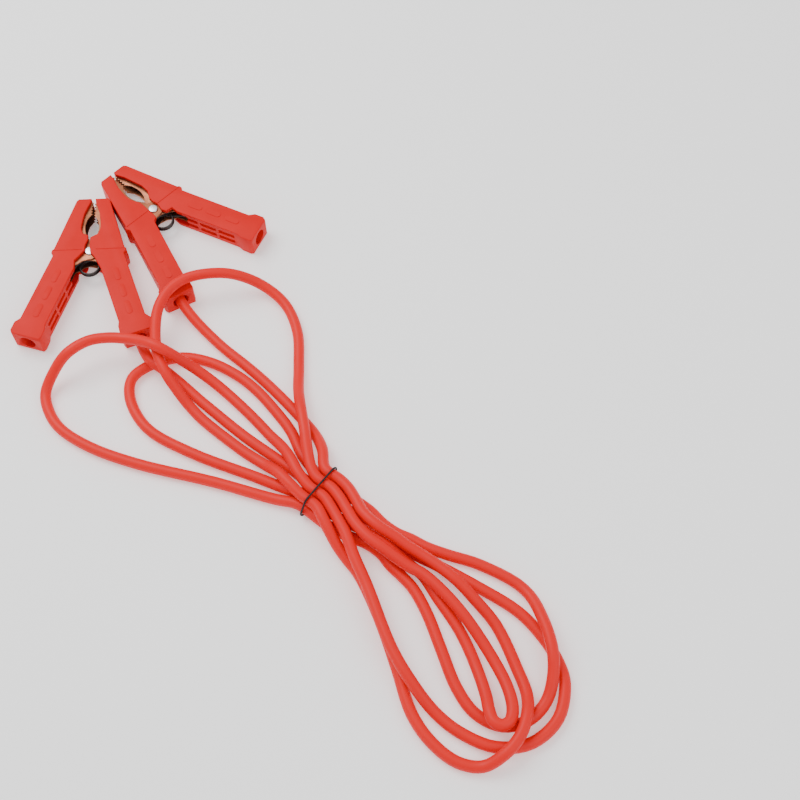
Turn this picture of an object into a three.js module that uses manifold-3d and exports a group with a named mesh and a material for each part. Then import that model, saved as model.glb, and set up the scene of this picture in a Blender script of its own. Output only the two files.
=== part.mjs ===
import * as THREE from "three";
import { mergeVertices } from "three/addons/utils/BufferGeometryUtils.js";
import Module from "manifold-3d";

const wasm = await Module();
wasm.setup();

// All lengths are in millimetres.

// Cable
const cableDiameter = 10;
const cableSides = 12;

// Clearances
const partGap = 0.3;
const boreClearance = 0.3;
const rivetHoleClearance = 0.4;

// Clamp
const clampHeight = 22;
const tipDistance = 60;
const handleAngle = 18.8;
const handleInside = 4.8;
const handleOutside = 29.8;
const handleEnd = 106;
const handleStart = 16;
const cavityEnd = 34;
const flareStart = 89;
const collarStart = 94;
const collarOutside = 33.3;
const chamferStart = 103;
const chamferSize = 2.3;
const shankEnd = 56;
const entryDiameter = 15;
const entryDepth = 18;
const coverWall = 3.7;

// Jaw sheet
const sheet = 1.2;
const earRadius = 9;
const shankInside = 8.7;
const shankOutside = 23.8;

// Rivet
const rivetRadius = 2.5;
const rivetHeadRadius = 4.5;
const rivetHeadThickness = 1.4;

// Spring
const springWire = 2.2;
const springMeanRadius = 9.15;
const springCentreBehind = 13.3;
const springLegEnd = 48;
const springLegAcross = 20;

// Tie
const tieWire = 1.8;
const tieCentre = [-69.4, -95.8];
const tieAcross = [0.606, 0.796];

// Clamp places on the table: rivet axis and turn
const clampOnePlace = [-294, 151];
const clampOneTurn = 2.69;
const clampTwoPlace = [-238.6, 201];
const clampTwoTurn = 46.86;

// Middle of the two clamps on the table
const tableOffset = [-241.91, 151.26];

// Centre of the cable, from the first clamp to the second
const cableRoute = [
  [-257.3, 104.8, 11], [-246.9, 78.5, 11], [-239.1, 58.7, 11],
  [-231, 41, 14.5], [-225, 32, 15.8], [-212, 23, 13.8], [-199, 14, 8.5],
  [-177, -5, 5], [-137, -39.5, 5], [-99, -68, 5.3],
  [-74.3, -89, 7.4], [-61.5, -98.5, 7.4], [-51.5, -105.5, 6.7], [-42, -112.5, 6.1], [-31.5, -120, 5.5],
  [-21, -131.5, 5], [-9, -140.5, 5], [3.5, -145.5, 5], [15.5, -152.5, 5], [34, -162, 5],
  [62, -178, 5], [97, -201, 5], [116, -223, 5], [127, -243, 5], [131, -260, 5], [124, -288, 5],
  [102, -307, 5], [74, -310, 5], [47, -299, 5], [27, -283, 6],
  [8, -260, 14.3], [-7, -234, 16], [-27, -182, 16.4], [-38, -157, 18], [-45.5, -137, 19.2],
  [-51.5, -125, 17.5], [-57.6, -113.7, 16.8], [-64.6, -102.9, 16.4], [-77.4, -93.2, 16.4],
  [-88, -79, 16.9], [-94, -67, 15.4], [-101, -55, 11.5], [-116, -37, 5],
  [-137, -14, 5], [-165, 12, 7],
  [-184, 24, 14], [-197, 28, 25], [-208, 31, 34], [-219, 36, 36.5], [-231, 42, 33],
  [-246, 47, 29], [-264, 48.5, 28], [-281, 45, 28], [-298, 33, 26.5], [-311, 20, 15],
  [-318, 3, 6], [-312, -16, 5], [-300, -32, 5], [-272, -50, 5], [-230, -66, 5],
  [-160, -84, 5], [-108, -100, 5.5], [-87, -105.7, 7.4], [-74, -115.4, 7.3],
  [-64.5, -122.7, 6.3], [-54.5, -129, 6], [-42.5, -135, 5.5], [-28, -141, 5], [-16, -150, 5],
  [-8, -160.5, 5], [2, -170.5, 5], [11, -181, 5], [22, -202, 5], [33, -232, 5],
  [45, -264, 5], [59, -284, 5], [80, -294, 5], [101, -289, 5], [115, -275, 5.3],
  [121, -257, 11], [121.5, -237, 16], [115.5, -210, 14], [103, -182, 5], [67, -160, 5],
  [40, -151, 5], [22, -144, 5], [9.5, -137, 5], [-2.5, -131.5, 5], [-14.5, -122.5, 5],
  [-25, -111.5, 5.5], [-35.5, -103.5, 6.1], [-45, -97, 6.6], [-54.8, -90.2, 7.4], [-68, -80.8, 7.4],
  [-85, -59, 5.8], [-96, -35, 5], [-111, -14, 5], [-130, 8, 5], [-148, 23, 5],
  [-172, 36, 5], [-198, 41.5, 5], [-225, 34.5, 5], [-242, 20, 5], [-242, -1, 5],
  [-224, -31, 5], [-184, -55, 5], [-125, -79, 5], [-97, -91, 5.8], [-80.6, -97.3, 7.4], [-68, -107, 7.4],
  [-58, -114, 6.6], [-48, -121, 6.6], [-37, -127.5, 10.5], [-24.5, -136, 13.9], [-12.5, -145, 14],
  [-2.5, -153, 10.3], [9, -161.5, 6.5], [18.5, -169, 5], [31, -189, 5],
  [48.5, -217, 5], [61, -247, 5], [67.5, -271, 10.5], [69.3, -284, 15], [72.3, -292.8, 16.8], [78.8, -296.2, 17.2],
  [85, -292.8, 16.8], [87.6, -284, 15.3], [85, -266, 11.5], [74, -241, 9], [52, -207, 13.8], [31, -183, 16],
  [18, -171.5, 16], [8, -166, 16], [-4, -158.5, 19], [-15.5, -150.5, 22.2], [-26.5, -142, 22.8],
  [-37.5, -129, 21.7], [-44.5, -116, 18.9], [-50.7, -104.6, 17.4], [-58.3, -94.4, 16.4],
  [-71, -84.8, 16.4], [-76.5, -75, 17],
  [-80, -60, 17], [-83.5, -38, 16.4], [-87.5, -17, 15.9], [-91, 6, 9], [-92, 32, 5],
  [-95, 70, 5], [-108, 100, 6], [-130, 117, 12], [-155, 120.5, 24], [-178, 118.5, 28.2],
  [-199, 112.5, 28.3], [-213, 100, 28], [-221, 82, 26], [-221.5, 56, 25], [-217, 33, 25.6],
  [-208, 14, 23], [-198, 1, 15], [-188, -10, 8], [-174, -24, 5], [-140, -52, 5],
  [-118, -68, 7.5], [-105, -79, 14.6], [-94, -91, 17], [-83.7, -101.5, 16.4],
  [-71, -111.4, 16.4], [-64.8, -122.7, 16.9], [-59, -134, 15], [-52.5, -145, 11],
  [-44.5, -155.5, 7.3], [-34.5, -168, 5], [-17, -206, 5], [-2.5, -248, 5],
  [9, -284, 5], [24, -306, 5], [44, -321.5, 5], [64, -325, 6], [82, -316, 14.5],
  [93, -303, 16.2], [98.5, -288, 15.6], [100, -270, 8.5], [93, -247, 5], [78, -212, 5.5],
  [62, -193, 10], [46, -177, 16], [31, -164.5, 16], [17, -154.5, 16], [5, -147, 17.6],
  [-5.5, -140, 20.5],
  [-19, -131.5, 22.8], [-31, -119, 21], [-37.5, -106.5, 18.9], [-43.8, -95.2, 17.3], [-51.9, -86.1, 16.4],
  [-64.2, -76.5, 16.4], [-67.5, -56, 12.5], [-75, -38, 6.2], [-91.5, -17, 5],
  [-117, 11, 5], [-139, 32, 5], [-161, 51, 5], [-183, 73, 6.5], [-195.5, 87, 9.3],
  [-204.1, 99.3, 11], [-214.4, 118.7, 11], [-227.1, 142.7, 11],
];

const handleTurn = THREE.MathUtils.degToRad(handleAngle);
const cableRadius = cableDiameter / 2;
const boreRadius = cableRadius + boreClearance;
const handleMiddle = (handleInside + handleOutside) / 2;
const clampMiddle = clampHeight / 2;
const cableJawBottom = coverWall + partGap;
const freeJawBottom = cableJawBottom + sheet + partGap;
const jawHeight = clampHeight - cableJawBottom - freeJawBottom;

// A point on the right handle: distance from the rivet along it, and across from it
function handlePoint(along, across) {
  const x = along * Math.sin(handleTurn) + across * Math.cos(handleTurn);
  const y = -along * Math.cos(handleTurn) + across * Math.sin(handleTurn);
  return [x, y];
}

function toSolid(geometry) {
  geometry.deleteAttribute("normal");
  geometry.deleteAttribute("uv");
  const merged = mergeVertices(geometry, 1e-4);
  const mesh = new wasm.Mesh({
    numProp: 3,
    vertProperties: new Float32Array(merged.attributes.position.array),
    triVerts: new Uint32Array(merged.index.array),
  });
  return new wasm.Manifold(mesh);
}

function toGeometry(solid) {
  const mesh = solid.getMesh();
  const geometry = new THREE.BufferGeometry();
  geometry.setAttribute("position", new THREE.BufferAttribute(mesh.vertProperties, 3));
  geometry.setIndex(new THREE.BufferAttribute(mesh.triVerts, 1));
  geometry.computeVertexNormals();
  return geometry;
}

// Side 1 is the right arm and side -1 is its mirror image
function mirrored(points, side) {
  return points.map(([x, y]) => new THREE.Vector2(side * x, y));
}

function slab(points, side, bottom, top) {
  const shape = new THREE.Shape(mirrored(points, side));
  const geometry = new THREE.ExtrudeGeometry(shape, { depth: top - bottom, bevelEnabled: false });
  geometry.translate(0, 0, bottom);
  return toSolid(geometry);
}

function disc(radius, bottom, top) {
  const geometry = new THREE.CylinderGeometry(radius, radius, top - bottom, 32);
  geometry.rotateX(Math.PI / 2);
  geometry.translate(0, 0, (bottom + top) / 2);
  return toSolid(geometry);
}

function handleBore(radius, start, end, side) {
  const geometry = new THREE.CylinderGeometry(radius, radius, end - start, 24);
  const [x, y] = handlePoint((start + end) / 2, handleMiddle);
  geometry.rotateZ(side * handleTurn);
  geometry.translate(side * x, y, clampMiddle);
  return toSolid(geometry);
}

// Outline shared by both covers, from the tip round the outside to the inside of the handle
const coverOutside = [
  [1.9, tipDistance], [14, tipDistance], [16.2, 57.5], [33.2, 1.5],
  [34.9, 0.5], [35.3, -2.5], [34.2, -4],
  handlePoint(handleStart, handleOutside), handlePoint(flareStart, handleOutside),
  handlePoint(collarStart, collarOutside), handlePoint(chamferStart, collarOutside),
  handlePoint(handleEnd, collarOutside - chamferSize),
  handlePoint(handleEnd, 4), handlePoint(chamferStart, 2.6), handlePoint(collarStart, 3),
  handlePoint(flareStart, handleInside),
];
const coverInsideStart = handlePoint(24, handleInside);
const mouthEdge = [[9, 24], [9, 28.5], [8.4, 34], [7.2, 42], [4.6, 50], [2.6, 55]];

// Inner edges of the four cover skins, from the handle up to the tip
const cableTopEdge = [
  coverInsideStart, [9, -15.3], [5.6, -8.7], [1.4, -3.5], [0.3, 4.5], [0.3, 14], [7.2, 18],
  ...mouthEdge,
];
const freeTopEdge = [
  coverInsideStart, [12.7, -12.1], [9.2, -7.9], [4, -0.9], [4, 4.7], [1.8, 10.8], [2, 16.5],
  [7.2, 19], ...mouthEdge,
];
const cableBottomEdge = [
  coverInsideStart, [10.1, -14.4], [5.7, -11.4], [4.9, -7.7], [5.3, -0.6], [4.6, 6.4],
  [4.6, 12], [7.2, 18], ...mouthEdge,
];
const freeBottomEdge = [
  coverInsideStart, [12.5, -13.9], [5.6, -13.3], [3.8, -8], [5.8, -0.1], [4.5, 5.9],
  [5, 11.1], [9.4, 18.9], [9.7, 27.8], [5, 47.9], [1.4, 56],
];

// The jaw's outer edge, and the cover's solid wall around it
const jawTip = tipDistance - 1.8;
const jawShoulder = handlePoint(22, shankOutside);
const wallGap = partGap;
const coverMiddle = [
  ...coverOutside,
  handlePoint(cavityEnd, handleInside), handlePoint(cavityEnd, shankInside - wallGap),
  handlePoint(shankEnd + wallGap, shankInside - wallGap),
  handlePoint(shankEnd + wallGap, shankOutside + wallGap),
  handlePoint(22, shankOutside + wallGap), [29.5 + wallGap, 2],
  [11.3 + wallGap, jawTip + wallGap], [1.9, jawTip + wallGap],
];

function coverSolid(side, topEdge, bottomEdge) {
  const join = 0.1;
  const bottomSkin = slab([...coverOutside, ...bottomEdge], side, 0, coverWall);
  const topSkin = slab([...coverOutside, ...topEdge], side, clampHeight - coverWall, clampHeight);
  const middle = slab(coverMiddle, side, coverWall - join, clampHeight - coverWall + join);
  const bore = handleBore(boreRadius, shankEnd - 1, handleEnd + 1, side);
  const entry = handleBore(entryDiameter / 2, handleEnd - entryDepth, handleEnd + 1, side);
  const headRoom = rivetHeadRadius + 0.8;
  const headHeight = rivetHeadThickness + partGap;
  const lowPocket = disc(headRoom, coverWall - headHeight, coverWall + 0.5);
  const highPocket = disc(
    headRoom, clampHeight - coverWall - 0.5, clampHeight - coverWall + headHeight,
  );
  return bottomSkin.add(topSkin).add(middle)
    .subtract(bore).subtract(entry).subtract(lowPocket).subtract(highPocket);
}

function jawPlateOutline() {
  const ear = [];
  for (let step = 0; step <= 16; step += 1) {
    const angle = Math.PI / 2 + (Math.PI * step) / 16;
    ear.push([earRadius * Math.cos(angle), earRadius * Math.sin(angle)]);
  }
  return [
    [11.3, jawTip], [0.5, jawTip],
    [0.3, 57], [2.2, 55.2], [0.3, 53.7], [2.2, 51.9], [0.3, 50.4], [2.2, 48.6],
    [0.3, 47.1], [2.2, 45.3], [0.3, 43.8],
    [1.6, 43], [5, 37.5], [6.4, 31], [6.2, 25.5], [4.6, 19.5], [1.9, 15], [0.3, 13],
    ...ear,
    [6, -10.5], [10.5, -14], handlePoint(20, shankInside), handlePoint(shankEnd, shankInside),
    handlePoint(shankEnd, shankOutside), jawShoulder, [29.5, 2],
  ];
}

const jawWeb = [
  [11.3, jawTip], [29.5, 2], jawShoulder, handlePoint(shankEnd, shankOutside),
  handlePoint(shankEnd, shankOutside - sheet), handlePoint(22, shankOutside - sheet),
  [28.3, 1.9], [10.04, jawTip],
];

function jawSolid(side, bottom) {
  const top = bottom + jawHeight;
  const outline = jawPlateOutline();
  const lowPlate = slab(outline, side, bottom, bottom + sheet);
  const highPlate = slab(outline, side, top - sheet, top);
  const web = slab(jawWeb, side, bottom + 0.1, top - 0.1);
  const hole = disc(rivetRadius + rivetHoleClearance, 0, clampHeight);
  return lowPlate.add(highPlate).add(web).subtract(hole);
}

function rivetGeometry() {
  const low = coverWall - rivetHeadThickness;
  const high = clampHeight - low;
  const profile = [
    [0, low], [rivetHeadRadius, low], [rivetHeadRadius, coverWall], [rivetRadius, coverWall],
    [rivetRadius, clampHeight - coverWall], [rivetHeadRadius, clampHeight - coverWall],
    [rivetHeadRadius, high], [0, high],
  ];
  const points = profile.map(([radius, height]) => new THREE.Vector2(radius, height));
  const geometry = new THREE.LatheGeometry(points, 28);
  geometry.rotateX(Math.PI / 2);
  return geometry;
}

// A smooth curve with one extrusion step at each of its points
class RouteCurve extends THREE.CatmullRomCurve3 {
  getPointAt(t, target) {
    return this.getPoint(t, target);
  }

  getTangentAt(t, target) {
    return this.getTangent(t, target);
  }
}

function sweep(points, radius, sides) {
  const section = [];
  for (let side = 0; side < sides; side += 1) {
    const angle = (2 * Math.PI * side) / sides;
    section.push(new THREE.Vector2(radius * Math.cos(angle), radius * Math.sin(angle)));
  }
  const path = new RouteCurve(points.map((point) => new THREE.Vector3(...point)));
  return new THREE.ExtrudeGeometry(new THREE.Shape(section), {
    steps: points.length - 1,
    extrudePath: path,
    bevelEnabled: false,
  });
}

function springGeometry() {
  const low = clampMiddle - 4 + springWire / 2;
  const high = clampMiddle + 4 - springWire / 2;
  const [legX, legY] = handlePoint(springLegEnd, springLegAcross);
  const reach = Math.hypot(legX, legY + springCentreBehind);
  const toLeg = Math.atan2(legY + springCentreBehind, legX);
  const start = toLeg + Math.acos(springMeanRadius / reach);
  const end = Math.PI - start + 4 * Math.PI;
  const steps = 48;
  const points = [[legX, legY, low]];
  const startX = springMeanRadius * Math.cos(start);
  const startY = springMeanRadius * Math.sin(start) - springCentreBehind;
  points.push([(legX + startX) / 2, (legY + startY) / 2, low]);
  for (let step = 0; step <= steps; step += 1) {
    const share = step / steps;
    const angle = start + (end - start) * share;
    const x = springMeanRadius * Math.cos(angle);
    const y = springMeanRadius * Math.sin(angle) - springCentreBehind;
    points.push([x, y, low + (high - low) * share]);
  }
  points.push([-(legX + startX) / 2, (legY + startY) / 2, high]);
  points.push([-legX, legY, high]);
  return sweep(points, springWire / 2, 8);
}

function ringOutline(radius) {
  const corners = [
    [-18.3, 7.4, 150, 270], [12.9, 7.4, 270, 330], [18.1, 16.4, 330, 450], [-13.1, 16.4, 90, 150],
  ];
  const points = [];
  for (const [across, height, from, to] of corners) {
    const steps = (to - from) / 20;
    for (let step = 0; step <= steps; step += 1) {
      const angle = THREE.MathUtils.degToRad(from + 20 * step);
      const x = across + radius * Math.cos(angle);
      const y = height + radius * Math.sin(angle);
      points.push(new THREE.Vector2(x, y));
    }
  }
  return points;
}

function tieGeometry() {
  const inside = cableRadius + partGap;
  const shape = new THREE.Shape(ringOutline(inside + tieWire));
  shape.holes.push(new THREE.Path(ringOutline(inside)));
  const geometry = new THREE.ExtrudeGeometry(shape, { depth: tieWire, bevelEnabled: false });
  geometry.translate(0, 0, -tieWire / 2);
  return geometry;
}

function piece(name, geometry, color) {
  const mesh = new THREE.Mesh(geometry, new THREE.MeshStandardMaterial({ color }));
  mesh.name = name;
  return mesh;
}

const red = "#e8463c";
const copper = "#c8875f";
const steel = "#d8d8dc";
const springSteel = "#37322f";

function clamp(name) {
  const group = new THREE.Group();
  group.add(piece(`${name}_cable_jaw`, toGeometry(jawSolid(1, cableJawBottom)), copper));
  group.add(piece(`${name}_free_jaw`, toGeometry(jawSolid(-1, freeJawBottom)), copper));
  const cableGrip = coverSolid(1, cableTopEdge, cableBottomEdge);
  group.add(piece(`${name}_cable_grip`, toGeometry(cableGrip), red));
  const freeGrip = coverSolid(-1, freeTopEdge, freeBottomEdge);
  group.add(piece(`${name}_free_grip`, toGeometry(freeGrip), red));
  group.add(piece(`${name}_rivet`, rivetGeometry(), steel));
  group.add(piece(`${name}_spring`, springGeometry(), springSteel));
  return group;
}

const table = new THREE.Group();
table.position.set(-tableOffset[0], -tableOffset[1], 0);

const clampOne = clamp("clamp_1");
clampOne.position.set(clampOnePlace[0], clampOnePlace[1], 0);
clampOne.rotation.z = THREE.MathUtils.degToRad(clampOneTurn);
table.add(clampOne);

// The second clamp lies on its other side
const clampTwo = clamp("clamp_2");
clampTwo.rotation.y = Math.PI;
clampTwo.position.z = clampHeight;
const clampTwoTurned = new THREE.Group();
clampTwoTurned.add(clampTwo);
clampTwoTurned.position.set(clampTwoPlace[0], clampTwoPlace[1], 0);
clampTwoTurned.rotation.z = THREE.MathUtils.degToRad(clampTwoTurn);
table.add(clampTwoTurned);

table.add(piece("cable", sweep(cableRoute, cableRadius, cableSides), red));

const tie = piece("tie", tieGeometry(), "#2e2826");
tie.rotation.x = Math.PI / 2;
const tieTurned = new THREE.Group();
tieTurned.add(tie);
tieTurned.position.set(tieCentre[0], tieCentre[1], 0);
tieTurned.rotation.z = Math.atan2(tieAcross[1], tieAcross[0]);
table.add(tieTurned);

const part = new THREE.Group();
part.name = "car_jumper_cable";
part.add(table);

export default part;
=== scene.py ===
# %% [markdown]
# A car jumper cable: one red lead with a spring clamp on each end, tied into loops.
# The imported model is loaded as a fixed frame. Each finished piece is laid over its part of that
# frame, in metres, so nothing has to be fitted afterwards.

# %% Load the frame
import bpy
import bmesh
import math
from mathutils import Matrix, Vector


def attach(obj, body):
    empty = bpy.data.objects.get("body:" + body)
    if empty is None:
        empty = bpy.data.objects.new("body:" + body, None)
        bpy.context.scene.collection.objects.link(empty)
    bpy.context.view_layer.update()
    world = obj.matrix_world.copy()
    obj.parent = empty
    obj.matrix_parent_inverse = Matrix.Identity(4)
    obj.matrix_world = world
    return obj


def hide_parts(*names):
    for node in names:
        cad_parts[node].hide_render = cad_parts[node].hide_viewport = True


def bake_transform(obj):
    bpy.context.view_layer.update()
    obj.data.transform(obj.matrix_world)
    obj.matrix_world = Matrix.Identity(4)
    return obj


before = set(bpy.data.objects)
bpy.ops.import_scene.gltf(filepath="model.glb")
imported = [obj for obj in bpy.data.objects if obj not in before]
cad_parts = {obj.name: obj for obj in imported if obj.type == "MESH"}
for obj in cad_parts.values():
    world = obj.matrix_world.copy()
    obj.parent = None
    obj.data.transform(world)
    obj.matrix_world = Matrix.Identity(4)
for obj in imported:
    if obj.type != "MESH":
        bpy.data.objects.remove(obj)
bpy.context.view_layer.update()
scene = bpy.context.scene

# %% [markdown]
# The camera comes first, because every piece is judged from it. It looks down on the table at
# 61 degrees, with a short telephoto lens, at a point near the middle of the loops.

# %% Camera
table_centre = Vector((0.24191, -0.15126, 0))
camera_distance = 1.103
camera_elevation = math.radians(61)
camera_data = bpy.data.cameras.new("camera")
camera_data.sensor_width = 36
camera_data.lens = 55.125
camera = bpy.data.objects.new("camera", camera_data)
scene.collection.objects.link(camera)
camera.location = table_centre + camera_distance * Vector(
    (0, -math.cos(camera_elevation), math.sin(camera_elevation)))
camera.rotation_euler = (math.radians(90) - camera_elevation, 0, 0)
scene.camera = camera
print("camera at", [round(v, 4) for v in camera.location])

# %% [markdown]
# The cable is a fixed length of rubbery wire. A curve is the natural way to make it: its line is
# the middle of the wire, and its bevel gives the round section. The route is a list of given
# points, and a centripetal curve through them stays smooth without swinging wide.

# %% The cable's route
cable_diameter = 0.010
cable_route = [
    (-0.2573, 0.1048, 0.011), (-0.2469, 0.0785, 0.011), (-0.2391, 0.0587, 0.011),
    (-0.231, 0.041, 0.0145), (-0.225, 0.032, 0.0158), (-0.212, 0.023, 0.0138), (-0.199, 0.014, 0.0085),
    (-0.177, -0.005, 0.005), (-0.137, -0.0395, 0.005), (-0.099, -0.068, 0.0053),
    (-0.0743, -0.089, 0.0074), (-0.0615, -0.0985, 0.0074), (-0.0515, -0.1055, 0.0067),
    (-0.042, -0.1125, 0.0061), (-0.0315, -0.12, 0.0055), (-0.021, -0.1315, 0.005),
    (-0.009, -0.1405, 0.005), (0.0035, -0.1455, 0.005), (0.0155, -0.1525, 0.005),
    (0.034, -0.162, 0.005), (0.062, -0.178, 0.005), (0.097, -0.201, 0.005), (0.116, -0.223, 0.005),
    (0.127, -0.243, 0.005), (0.131, -0.26, 0.005), (0.124, -0.288, 0.005), (0.102, -0.307, 0.005),
    (0.074, -0.31, 0.005), (0.047, -0.299, 0.005), (0.027, -0.283, 0.006), (0.008, -0.26, 0.0143),
    (-0.007, -0.234, 0.016), (-0.027, -0.182, 0.0164), (-0.038, -0.157, 0.018),
    (-0.0455, -0.137, 0.0192), (-0.0515, -0.125, 0.0175), (-0.0576, -0.1137, 0.0168),
    (-0.0646, -0.1029, 0.0164), (-0.0774, -0.0932, 0.0164), (-0.088, -0.079, 0.0169),
    (-0.094, -0.067, 0.0154), (-0.101, -0.055, 0.0115), (-0.116, -0.037, 0.005),
    (-0.137, -0.014, 0.005), (-0.165, 0.012, 0.007), (-0.184, 0.024, 0.014), (-0.197, 0.028, 0.025),
    (-0.208, 0.031, 0.034), (-0.219, 0.036, 0.0365), (-0.231, 0.042, 0.033), (-0.246, 0.047, 0.029),
    (-0.264, 0.0485, 0.028), (-0.281, 0.045, 0.028), (-0.298, 0.033, 0.0265), (-0.311, 0.02, 0.015),
    (-0.318, 0.003, 0.006), (-0.312, -0.016, 0.005), (-0.3, -0.032, 0.005), (-0.272, -0.05, 0.005),
    (-0.23, -0.066, 0.005), (-0.16, -0.084, 0.005), (-0.108, -0.1, 0.0055), (-0.087, -0.1057, 0.0074),
    (-0.074, -0.1154, 0.0073), (-0.0645, -0.1227, 0.0063), (-0.0545, -0.129, 0.006),
    (-0.0425, -0.135, 0.0055), (-0.028, -0.141, 0.005), (-0.016, -0.15, 0.005),
    (-0.008, -0.1605, 0.005), (0.002, -0.1705, 0.005), (0.011, -0.181, 0.005), (0.022, -0.202, 0.005),
    (0.033, -0.232, 0.005), (0.045, -0.264, 0.005), (0.059, -0.284, 0.005), (0.08, -0.294, 0.005),
    (0.101, -0.289, 0.005), (0.115, -0.275, 0.0053), (0.121, -0.257, 0.011), (0.1215, -0.237, 0.016),
    (0.1155, -0.21, 0.014), (0.103, -0.182, 0.005), (0.067, -0.16, 0.005), (0.04, -0.151, 0.005),
    (0.022, -0.144, 0.005), (0.0095, -0.137, 0.005), (-0.0025, -0.1315, 0.005),
    (-0.0145, -0.1225, 0.005), (-0.025, -0.1115, 0.0055), (-0.0355, -0.1035, 0.0061),
    (-0.045, -0.097, 0.0066), (-0.0548, -0.0902, 0.0074), (-0.068, -0.0808, 0.0074),
    (-0.085, -0.059, 0.0058), (-0.096, -0.035, 0.005), (-0.111, -0.014, 0.005), (-0.13, 0.008, 0.005),
    (-0.148, 0.023, 0.005), (-0.172, 0.036, 0.005), (-0.198, 0.0415, 0.005), (-0.225, 0.0345, 0.005),
    (-0.242, 0.02, 0.005), (-0.242, -0.001, 0.005), (-0.224, -0.031, 0.005), (-0.184, -0.055, 0.005),
    (-0.125, -0.079, 0.005), (-0.097, -0.091, 0.0058), (-0.0806, -0.0973, 0.0074),
    (-0.068, -0.107, 0.0074), (-0.058, -0.114, 0.0066), (-0.048, -0.121, 0.0066),
    (-0.037, -0.1275, 0.0105), (-0.0245, -0.136, 0.0139), (-0.0125, -0.145, 0.014),
    (-0.0025, -0.153, 0.0103), (0.009, -0.1615, 0.0065), (0.0185, -0.169, 0.005),
    (0.031, -0.189, 0.005), (0.0485, -0.217, 0.005), (0.061, -0.247, 0.005), (0.0675, -0.271, 0.0105),
    (0.0693, -0.284, 0.015), (0.0723, -0.2928, 0.0168), (0.0788, -0.2962, 0.0172),
    (0.085, -0.2928, 0.0168), (0.0876, -0.284, 0.0153), (0.085, -0.266, 0.0115), (0.074, -0.241, 0.009),
    (0.052, -0.207, 0.0138), (0.031, -0.183, 0.016), (0.018, -0.1715, 0.016), (0.008, -0.166, 0.016),
    (-0.004, -0.1585, 0.019), (-0.0155, -0.1505, 0.0222), (-0.0265, -0.142, 0.0228),
    (-0.0375, -0.129, 0.0217), (-0.0445, -0.116, 0.0189), (-0.0507, -0.1046, 0.0174),
    (-0.0583, -0.0944, 0.0164), (-0.071, -0.0848, 0.0164), (-0.0765, -0.075, 0.017),
    (-0.08, -0.06, 0.017), (-0.0835, -0.038, 0.0164), (-0.0875, -0.017, 0.0159), (-0.091, 0.006, 0.009),
    (-0.092, 0.032, 0.005), (-0.095, 0.07, 0.005), (-0.108, 0.1, 0.006), (-0.13, 0.117, 0.012),
    (-0.155, 0.1205, 0.024), (-0.178, 0.1185, 0.0282), (-0.199, 0.1125, 0.0283), (-0.213, 0.1, 0.028),
    (-0.221, 0.082, 0.026), (-0.2215, 0.056, 0.025), (-0.217, 0.033, 0.0256), (-0.208, 0.014, 0.023),
    (-0.198, 0.001, 0.015), (-0.188, -0.01, 0.008), (-0.174, -0.024, 0.005), (-0.14, -0.052, 0.005),
    (-0.118, -0.068, 0.0075), (-0.105, -0.079, 0.0146), (-0.094, -0.091, 0.017),
    (-0.0837, -0.1015, 0.0164), (-0.071, -0.1114, 0.0164), (-0.0648, -0.1227, 0.0169),
    (-0.059, -0.134, 0.015), (-0.0525, -0.145, 0.011), (-0.0445, -0.1555, 0.0073),
    (-0.0345, -0.168, 0.005), (-0.017, -0.206, 0.005), (-0.0025, -0.248, 0.005), (0.009, -0.284, 0.005),
    (0.024, -0.306, 0.005), (0.044, -0.3215, 0.005), (0.064, -0.325, 0.006), (0.082, -0.316, 0.0145),
    (0.093, -0.303, 0.0162), (0.0985, -0.288, 0.0156), (0.1, -0.27, 0.0085), (0.093, -0.247, 0.005),
    (0.078, -0.212, 0.0055), (0.062, -0.193, 0.01), (0.046, -0.177, 0.016), (0.031, -0.1645, 0.016),
    (0.017, -0.1545, 0.016), (0.005, -0.147, 0.0176), (-0.0055, -0.14, 0.0205),
    (-0.019, -0.1315, 0.0228), (-0.031, -0.119, 0.021), (-0.0375, -0.1065, 0.0189),
    (-0.0438, -0.0952, 0.0173), (-0.0519, -0.0861, 0.0164), (-0.0642, -0.0765, 0.0164),
    (-0.0675, -0.056, 0.0125), (-0.075, -0.038, 0.0062), (-0.0915, -0.017, 0.005),
    (-0.117, 0.011, 0.005), (-0.139, 0.032, 0.005), (-0.161, 0.051, 0.005), (-0.183, 0.073, 0.0065),
    (-0.1955, 0.087, 0.0093), (-0.2041, 0.0993, 0.011), (-0.2144, 0.1187, 0.011),
    (-0.2271, 0.1427, 0.011),
]
print("route points:", len(cable_route))

# %% A smooth line through the points
def smooth_line(points, steps):
    ends = [2 * points[0] - points[1], *points, 2 * points[-1] - points[-2]]
    line = []
    for a, b, c, d in zip(ends, ends[1:], ends[2:], ends[3:]):
        first, middle, last = [math.sqrt((q - p).length) for p, q in ((a, b), (b, c), (c, d))]
        leave = ((b - a) / first - (c - a) / (first + middle) + (c - b) / middle) * middle
        arrive = ((c - b) / middle - (d - b) / (middle + last) + (d - c) / last) * middle
        for step in range(steps):
            t = step / steps
            line.append(
                b * (2 * t**3 - 3 * t**2 + 1) + leave * (t**3 - 2 * t**2 + t)
                + c * (3 * t**2 - 2 * t**3) + arrive * (t**3 - t**2))
    line.append(points[-1].copy())
    return line


table_offset = Vector((0.24191, -0.15126, 0))
cable_points = [Vector(point) + table_offset for point in cable_route]
cable_line = smooth_line(cable_points, 5)


# %% A round wire along a line
def round_wire(name, line, radius, sides, closed=False):
    curve = bpy.data.curves.new(name, "CURVE")
    curve.dimensions = "3D"
    curve.bevel_depth = radius
    curve.bevel_resolution = sides
    curve.use_fill_caps = not closed
    spline = curve.splines.new("POLY")
    spline.points.add(len(line) - 1)
    for point, place in zip(spline.points, line):
        point.co = (*place, 1)
    spline.use_cyclic_u = closed
    wire = bpy.data.objects.new(name, curve)
    scene.collection.objects.link(wire)
    return wire


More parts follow.
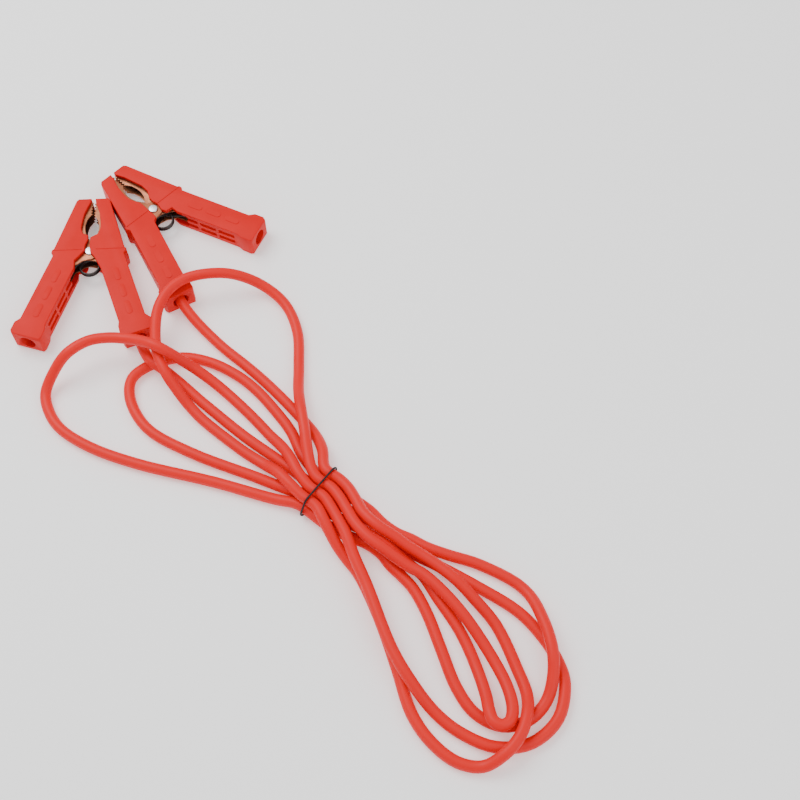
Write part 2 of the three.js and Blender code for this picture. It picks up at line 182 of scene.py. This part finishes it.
for place in cable_line:
    place.z = max(place.z, cable_diameter / 2)
cable_curve = round_wire("cable_jacket", cable_line, cable_diameter / 2, 4)
print("cable bevel:", cable_curve.data.bevel_depth)

# %% [markdown]
# Every finished piece sits at the origin with its place in its mesh. These helpers select one
# object at a time and press its place into its mesh.

# %% Selecting and placing
def only(piece):
    bpy.ops.object.select_all(action="DESELECT")
    piece.select_set(True)
    bpy.context.view_layer.objects.active = piece


def press_place(piece):
    only(piece)
    bpy.ops.object.transform_apply(location=True, rotation=True, scale=True)


def to_mesh(piece):
    only(piece)
    bpy.ops.object.convert(target="MESH")
    return bpy.context.view_layer.objects.active


def joined(pieces, name):
    only(pieces[0])
    for piece in pieces:
        piece.select_set(True)
    bpy.ops.object.join()
    pieces[0].name = name
    return pieces[0]


cable = to_mesh(cable_curve)
bpy.ops.object.shade_smooth()
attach(cable, "lead")
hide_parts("cable")
print("cable faces:", len(cable.data.polygons))

# %% [markdown]
# The tie is a thin black wire, bent once round the eight strands of the bundle. Four round
# corners, two low and two high, give it the shape of the stack that it holds together.

# %% The tie round the bundle
tie_wire = 0.0018
tie_centre = table_offset + Vector((-0.0694, -0.0958, 0))
tie_across = Vector((0.606, 0.796, 0)).normalized()
tie_corners = [(-0.0183, 0.0074, 150, 270), (0.0129, 0.0074, 270, 330),
               (0.0181, 0.0164, 330, 450), (-0.0131, 0.0164, 90, 150)]
tie_reach = cable_diameter / 2 + 0.0003 + tie_wire / 2
tie_line = []
for across, height, start, end in tie_corners:
    for turn in range(start, end + 1, 10):
        angle = math.radians(turn)
        side = across + tie_reach * math.cos(angle)
        up = height + tie_reach * math.sin(angle)
        tie_line.append(tie_centre + side * tie_across + Vector((0, 0, up)))
tie = to_mesh(round_wire("tie_wire", tie_line, tie_wire / 2, 3, closed=True))
bpy.ops.object.shade_smooth()
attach(tie, "lead")
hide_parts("tie")
print("tie points:", len(tie_line))

# %% [markdown]
# Both clamps are the same tool. The second one lies on its other side, turned over about its
# long axis, so every detail is placed in the clamp's own frame and then moved by one matrix.

# %% The two clamps' places
clamp_height = 0.022
clamp_one = Matrix.Translation((-0.05209, -0.00026, 0)) @ Matrix.Rotation(math.radians(2.69), 4, "Z")
turned_over = Matrix.Translation((0, 0, clamp_height)) @ Matrix.Rotation(math.pi, 4, "Y")
clamp_two = (Matrix.Translation((0.00331, 0.04974, 0))
             @ Matrix.Rotation(math.radians(46.86), 4, "Z") @ turned_over)
clamp_places = {"clamp_1": clamp_one, "clamp_2": clamp_two}
handle_turn = math.radians(18.8)
handle_middle = 0.0173
handle_inside = 0.0048


def handle_place(along, across, height, side):
    x = along * math.sin(handle_turn) + across * math.cos(handle_turn)
    y = -along * math.cos(handle_turn) + across * math.sin(handle_turn)
    turn = Matrix.Rotation(side * handle_turn, 4, "Z")
    return Matrix.Translation((side * x, y, height)) @ turn


print("clamps:", list(clamp_places))

# %% [markdown]
# The covers are soft moulded PVC. Their shape is already right in the frame, but moulded edges
# are never knife sharp. A copy of each cover is merged, its flat faces are cleared of spare
# edges, and the long outline edges are rounded with the bevel operator.

# %% A clean copy of a frame part
def clean_copy(node, name):
    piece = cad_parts[node].copy()
    piece.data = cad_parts[node].data.copy()
    piece.name = name
    for key in list(piece.keys()):
        del piece[key]
    piece.parent = None
    scene.collection.objects.link(piece)
    only(piece)
    bpy.ops.object.mode_set(mode="EDIT")
    bpy.ops.mesh.select_all(action="SELECT")
    bpy.ops.mesh.remove_doubles(threshold=0.00001)
    bpy.ops.mesh.dissolve_limited(angle_limit=math.radians(1))
    bpy.ops.object.mode_set(mode="OBJECT")
    return piece


# %% Rounding chosen edges
def round_edges(piece, wanted, width, segments):
    only(piece)
    bpy.ops.object.mode_set(mode="EDIT")
    bpy.ops.mesh.select_mode(type="EDGE")
    bpy.ops.mesh.select_all(action="DESELECT")
    mesh = bmesh.from_edit_mesh(piece.data)
    count = 0
    for edge in mesh.edges:
        if edge.is_manifold and edge.calc_face_angle(0) > math.radians(25) and wanted(edge):
            edge.select = True
            count += 1
    bmesh.update_edit_mesh(piece.data)
    bpy.ops.mesh.bevel(offset=width, segments=segments, affect="EDGES", clamp_overlap=True)
    bpy.ops.object.mode_set(mode="OBJECT")
    return count


def on_broad_face(edge):
    heights = [v.co.z for v in edge.verts]
    low = all(abs(z) < 0.00002 for z in heights)
    high = all(abs(z - clamp_height) < 0.00002 for z in heights)
    return low or high


covers = {}
for clamp in clamp_places:
    for arm in ("cable", "free"):
        cover = clean_copy(f"{clamp}_{arm}_grip", f"{clamp}_{arm}_cover")
        count = round_edges(cover, on_broad_face, 0.0009, 3)
        covers[clamp, arm] = cover
        print(cover.name, "edges rounded:", count)

# %% [markdown]
# The handles carry the grip pattern: three raised pads in a row on the broad faces, six sunk
# slots on the inner side face, a thin rib across the cover beside the rivet, and a small nub on
# the outer shoulder. One rounded bar is modelled for all of them and copied into its places.

# %% A bar with round ends
def rounded_bar(length, width, height, corner, place):
    bpy.ops.object.select_all(action="DESELECT")
    bpy.ops.mesh.primitive_cube_add(size=1, scale=(width, length, height))
    bar = bpy.context.object
    press_place(bar)
    round_edges(bar, lambda edge: abs(edge.verts[0].co.z - edge.verts[1].co.z) > height / 2,
                corner, 4)
    round_edges(bar, lambda edge: edge.verts[0].co.z > 0 and edge.verts[1].co.z > 0,
                height * 0.3, 2)
    bar.matrix_world = place
    press_place(bar)
    return bar


def take_away(piece, cutter):
    only(piece)
    cut = piece.modifiers.new("cut", "BOOLEAN")
    cut.operation = "DIFFERENCE"
    cut.solver = "EXACT"
    cut.object = cutter
    bpy.ops.object.modifier_apply(modifier="cut")
    bpy.data.objects.remove(cutter)


pad_places = (0.037, 0.057, 0.077)
slot_heights = (0.0071, 0.0149)
print("pads a face:", len(pad_places), "slots a handle:", 2 * len(pad_places))

# %% Slots, pads, rib and nub on each cover
for (clamp, arm), cover in covers.items():
    side = 1 if arm == "cable" else -1
    place = clamp_places[clamp]
    shown, hidden = (clamp_height, 0) if clamp == "clamp_1" else (0, clamp_height)
    cutters = []
    raised = []
    for along in pad_places:
        for height in slot_heights:
            upright = Matrix.Rotation(math.radians(90), 4, "Y")
            cutters.append(rounded_bar(
                0.0172, 0.0046, 0.0032, 0.0006,
                place @ handle_place(along, handle_inside, height, side) @ upright))
        raised.append(rounded_bar(
            0.0150, 0.0056, 0.0008, 0.0026,
            place @ handle_place(along, handle_middle, shown, side)))
        cutters.append(rounded_bar(
            0.0150, 0.0056, 0.0008, 0.0026,
            place @ handle_place(along, handle_middle, hidden, side)))
    rib = place @ Matrix.Translation((side * 0.0200, 0, shown)) @ Matrix.Rotation(math.pi / 2, 4, "Z")
    raised.append(rounded_bar(0.0270, 0.0009, 0.0009, 0.0003, rib))
    nub = place @ Matrix.Translation((side * 0.0347, -0.0015, clamp_height / 2))
    raised.append(rounded_bar(0.0024, 0.0018, 0.0056, 0.0007, nub))
    cutter = joined(cutters, "cutter")
    take_away(cover, cutter)
    cover = joined([cover, *raised], cover.name)
    only(cover)
    bpy.ops.object.shade_smooth_by_angle(angle=math.radians(32))
    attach(cover, "lead" if arm == "cable" else f"{clamp}_free_arm")
    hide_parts(f"{clamp}_{arm}_grip")
    print(cover.name, "faces:", len(cover.data.polygons))

# %% [markdown]
# The jaws are folded from copper-plated sheet. Their punched edges are slightly broken, so each
# copy gets a fine bevel all round before it takes its metal finish.

# %% Copper jaws
jaws = {}
for clamp in clamp_places:
    for arm in ("cable", "free"):
        jaw = clean_copy(f"{clamp}_{arm}_jaw", f"{clamp}_{arm}_copper_jaw")
        round_edges(jaw, lambda edge: edge.calc_length() > 0.0008, 0.00018, 2)
        only(jaw)
        bpy.ops.object.shade_smooth_by_angle(angle=math.radians(32))
        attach(jaw, "lead" if arm == "cable" else f"{clamp}_free_arm")
        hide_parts(f"{clamp}_{arm}_jaw")
        jaws[clamp, arm] = jaw
        print(jaw.name, "faces:", len(jaw.data.polygons))

# %% [markdown]
# A rivet with two broad heads holds the arms together. Its shaft is a cylinder, and each head is
# a disc whose outer rim is rounded until it reads as a pressed, slightly domed head.

# %% Rivets
def rivet_head(place):
    bpy.ops.object.select_all(action="DESELECT")
    bpy.ops.mesh.primitive_cylinder_add(vertices=40, radius=0.0045, depth=0.0014)
    head = bpy.context.object
    round_edges(head, lambda edge: edge.verts[0].co.z > 0 and edge.verts[1].co.z > 0, 0.0009, 4)
    head.matrix_world = place
    press_place(head)
    return head


rivets = {}
for clamp, place in clamp_places.items():
    bpy.ops.object.select_all(action="DESELECT")
    bpy.ops.mesh.primitive_cylinder_add(vertices=32, radius=0.0025, depth=0.0160)
    shaft = bpy.context.object
    shaft.matrix_world = place @ Matrix.Translation((0, 0, clamp_height / 2))
    press_place(shaft)
    upper = rivet_head(place @ Matrix.Translation((0, 0, 0.0190)))
    lower = rivet_head(place @ Matrix.Translation((0, 0, 0.0030)) @ Matrix.Rotation(math.pi, 4, "X"))
    rivet = joined([shaft, upper, lower], f"{clamp}_domed_rivet")
    only(rivet)
    bpy.ops.object.shade_smooth_by_angle(angle=math.radians(30))
    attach(rivet, "lead")
    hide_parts(f"{clamp}_rivet")
    rivets[clamp] = rivet
    print(rivet.name, "faces:", len(rivet.data.polygons))

# %% [markdown]
# The torsion spring is one dark wire: a straight leg in each handle and a little over two turns
# between them. Its line is worked out from the same sizes as the frame's, then given thickness.

# %% Springs
spring_wire = 0.0022
spring_radius = 0.00915
spring_behind = 0.0133


def spring_line():
    low = clamp_height / 2 - 0.004 + spring_wire / 2
    high = clamp_height - low
    leg = handle_place(0.048, 0.020, 0, 1).to_translation()
    to_leg = math.atan2(leg.y + spring_behind, leg.x)
    reach = math.hypot(leg.x, leg.y + spring_behind)
    start = to_leg + math.acos(spring_radius / reach)
    end = math.pi - start + 4 * math.pi
    line = [Vector((leg.x, leg.y, low))]
    for step in range(121):
        share = step / 120
        angle = start + (end - start) * share
        line.append(Vector((spring_radius * math.cos(angle),
                            spring_radius * math.sin(angle) - spring_behind,
                            low + (high - low) * share)))
    line.append(Vector((-leg.x, leg.y, high)))
    return line


springs = {}
for clamp, place in clamp_places.items():
    spring = to_mesh(round_wire(f"{clamp}_coil", [place @ p for p in spring_line()],
                                spring_wire / 2, 3))
    bpy.ops.object.shade_smooth()
    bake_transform(spring)
    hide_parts(f"{clamp}_spring")
    springs[clamp] = spring
    print(spring.name, "faces:", len(spring.data.polygons))

# %% [markdown]
# Four finishes share one effect: a fine grain that changes colour, gloss and height together.
# It is built once as a node group on Object coordinates, so it holds still in every view and
# every pose, and each material places it with its own colours and scale.

# %% The shared grain
grain = bpy.data.node_groups.new("surface_grain", "ShaderNodeTree")
for socket, kind, value in (("Colour", "NodeSocketColor", (1, 1, 1, 1)),
                            ("Shade", "NodeSocketColor", (0.5, 0.5, 0.5, 1)),
                            ("Grain scale", "NodeSocketFloat", 900),
                            ("Patch scale", "NodeSocketFloat", 40),
                            ("Smoothest", "NodeSocketFloat", 0.35),
                            ("Roughest", "NodeSocketFloat", 0.5)):
    made = grain.interface.new_socket(socket, in_out="INPUT", socket_type=kind)
    made.default_value = value
for socket, kind in (("Colour", "NodeSocketColor"), ("Roughness", "NodeSocketFloat"),
                     ("Height", "NodeSocketFloat")):
    grain.interface.new_socket(socket, in_out="OUTPUT", socket_type=kind)
group_in = grain.nodes.new("NodeGroupInput")
group_out = grain.nodes.new("NodeGroupOutput")
places = grain.nodes.new("ShaderNodeTexCoord")
fine = grain.nodes.new("ShaderNodeTexNoise")
fine.inputs["Detail"].default_value = 3
patches = grain.nodes.new("ShaderNodeTexNoise")
patches.inputs["Detail"].default_value = 4
mix = grain.nodes.new("ShaderNodeMix")
mix.data_type = "RGBA"
gloss = grain.nodes.new("ShaderNodeMapRange")
link = grain.links.new
link(places.outputs["Object"], fine.inputs["Vector"])
link(places.outputs["Object"], patches.inputs["Vector"])
link(group_in.outputs["Grain scale"], fine.inputs["Scale"])
link(group_in.outputs["Patch scale"], patches.inputs["Scale"])
link(patches.outputs["Fac"], mix.inputs["Factor"])
link(group_in.outputs["Colour"], mix.inputs["A"])
link(group_in.outputs["Shade"], mix.inputs["B"])
link(patches.outputs["Fac"], gloss.inputs["Value"])
link(group_in.outputs["Smoothest"], gloss.inputs["To Min"])
link(group_in.outputs["Roughest"], gloss.inputs["To Max"])
link(mix.outputs["Result"], group_out.inputs["Colour"])
link(gloss.outputs["Result"], group_out.inputs["Roughness"])
link(fine.outputs["Fac"], group_out.inputs["Height"])
print("grain nodes:", len(grain.nodes))


# %% A finish with the grain in it
def finish(name, colour, shade, grain_scale, patch_scale, smooth, rough, bump, **shader_values):
    material = bpy.data.materials.new(name)
    material.use_nodes = True
    nodes = material.node_tree.nodes
    links = material.node_tree.links
    shader = nodes["Principled BSDF"]
    skin = nodes.new("ShaderNodeGroup")
    skin.node_tree = grain
    skin.inputs["Colour"].default_value = (*colour, 1)
    skin.inputs["Shade"].default_value = (*shade, 1)
    skin.inputs["Grain scale"].default_value = grain_scale
    skin.inputs["Patch scale"].default_value = patch_scale
    skin.inputs["Smoothest"].default_value = smooth
    skin.inputs["Roughest"].default_value = rough
    relief = nodes.new("ShaderNodeBump")
    relief.inputs["Strength"].default_value = bump
    relief.inputs["Distance"].default_value = 0.0002
    links.new(skin.outputs["Colour"], shader.inputs["Base Color"])
    links.new(skin.outputs["Roughness"], shader.inputs["Roughness"])
    links.new(skin.outputs["Height"], relief.inputs["Height"])
    links.new(relief.outputs["Normal"], shader.inputs["Normal"])
    for key, value in shader_values.items():
        shader.inputs[key.replace("_", " ")].default_value = value
    return material


def paint(piece, material):
    piece.data.materials.clear()
    piece.data.materials.append(material)


# %% [markdown]
# The moulded covers have a satin skin with a fine mould texture. The cable's jacket is the same
# PVC but drawn, so it is a little brighter and glossier, with only a faint waviness.

# %% Red PVC on covers and cable
cover_red = finish("cover_red", (0.72, 0.0012, 0.0008), (0.60, 0.0008, 0.0005), 2600, 55,
                   0.48, 0.60, 0.10, Specular_IOR_Level=0.20)
cable_red = finish("cable_red", (0.84, 0.0030, 0.0018), (0.74, 0.0020, 0.0012), 1500, 30,
                   0.44, 0.56, 0.05, Specular_IOR_Level=0.3)
for cover_key in covers:
    cover_piece = bpy.data.objects[f"{cover_key[0]}_{cover_key[1]}_cover"]
    paint(cover_piece, cover_red)
paint(cable, cable_red)
print("red pieces:", len(covers) + 1)

# %% [markdown]
# The jaws are copper plated: warm, bright where they face the light, and mottled where the
# plating is thin. The rivet is bright steel, and spring and tie are nearly black.

# %% Metals and the tie
copper = finish("jaw_copper", (0.56, 0.21, 0.10), (0.34, 0.11, 0.055), 1800, 160,
                0.30, 0.50, 0.12, Metallic=0.8)
steel = finish("rivet_steel", (0.86, 0.86, 0.88), (0.70, 0.70, 0.73), 2200, 220,
               0.22, 0.36, 0.06, Metallic=1.0)
spring_steel = finish("spring_steel", (0.060, 0.052, 0.050), (0.032, 0.027, 0.026), 1600, 140,
                      0.26, 0.42, 0.10, Metallic=0.6)
tie_black = finish("tie_black", (0.016, 0.012, 0.013), (0.010, 0.008, 0.009), 2400, 180,
                   0.42, 0.58, 0.10, Specular_IOR_Level=0.3)
for jaw in jaws.values():
    paint(jaw, copper)
for rivet in rivets.values():
    paint(rivet, steel)
for spring in springs.values():
    paint(spring, spring_steel)
paint(tie, tie_black)
print("metal pieces:", len(jaws) + len(rivets) + len(springs))

# %% [markdown]
# Between its two plates each jaw is out of the light, so its copper there is painted dark brown
# as shade. A mask on the height inside the clamp could be painted by hand, but the plates are
# level, so the distance from the clamp's middle height is enough to tell inside from outside.

# %% Painted shade inside the jaws
nodes = copper.node_tree.nodes
links = copper.node_tree.links
inside_places = nodes.new("ShaderNodeTexCoord")
inside_height = nodes.new("ShaderNodeSeparateXYZ")
inside_depth = nodes.new("ShaderNodeMath")
inside_depth.operation = "SUBTRACT"
inside_depth.inputs[1].default_value = clamp_height / 2
inside_reach = nodes.new("ShaderNodeMath")
inside_reach.operation = "ABSOLUTE"
inner_shade_mask = nodes.new("ShaderNodeMapRange")
inner_shade_mask.inputs["From Min"].default_value = 0.0040
inner_shade_mask.inputs["From Max"].default_value = 0.0060
# Painted shade: the copper between the jaw plates is mixed towards dark brown in place of the shade
# there.
painted_inner_shade = nodes.new("ShaderNodeMix")
painted_inner_shade.data_type = "RGBA"
painted_inner_shade.inputs["A"].default_value = (0.040, 0.013, 0.010, 1)
links.new(inside_places.outputs["Object"], inside_height.inputs["Vector"])
links.new(inside_height.outputs["Z"], inside_depth.inputs[0])
links.new(inside_depth.outputs["Value"], inside_reach.inputs[0])
links.new(inside_reach.outputs["Value"], inner_shade_mask.inputs["Value"])
links.new(inner_shade_mask.outputs["Result"], painted_inner_shade.inputs["Factor"])
copper_skin = [node for node in nodes if node.type == "GROUP"][0]
links.new(copper_skin.outputs["Colour"], painted_inner_shade.inputs["B"])
links.new(painted_inner_shade.outputs["Result"], nodes["Principled BSDF"].inputs["Base Color"])
print("copper nodes:", len(nodes))

# %% [markdown]
# The object lies on a plain white table under soft light from above, so only faint shadows fall
# under the loops. A large plane is enough for the table, and big area lights give the softness.

# %% Table and light
bpy.ops.object.select_all(action="DESELECT")
bpy.ops.mesh.primitive_plane_add(size=8, location=(0.13, -0.19, -0.0006))
table = bpy.context.object
table.name = "table"
press_place(table)
white = bpy.data.materials.new("table_white")
white.use_nodes = True
white.node_tree.nodes["Principled BSDF"].inputs["Base Color"].default_value = (0.97, 0.97, 0.97, 1)
white.node_tree.nodes["Principled BSDF"].inputs["Roughness"].default_value = 0.7
white.node_tree.nodes["Principled BSDF"].inputs["Emission Color"].default_value = (1, 1, 1, 1)
white.node_tree.nodes["Principled BSDF"].inputs["Emission Strength"].default_value = 0.35
table.data.materials.append(white)
world = bpy.data.worlds.new("studio")
world.use_nodes = True
world.node_tree.nodes["Background"].inputs["Color"].default_value = (1, 1, 1, 1)
world.node_tree.nodes["Background"].inputs["Strength"].default_value = 0.80
scene.world = world


def soft_light(name, place, size, power):
    data = bpy.data.lights.new(name, "AREA")
    data.size = size
    data.energy = power
    light = bpy.data.objects.new(name, data)
    scene.collection.objects.link(light)
    light.location = place
    light.rotation_euler = (table_centre - Vector(place)).to_track_quat("-Z", "Y").to_euler()
    return light


soft_light("key_light", (-0.7, 0.5, 1.6), 1.2, 27)
soft_light("fill_light", (1.4, -0.9, 1.5), 1.6, 12)
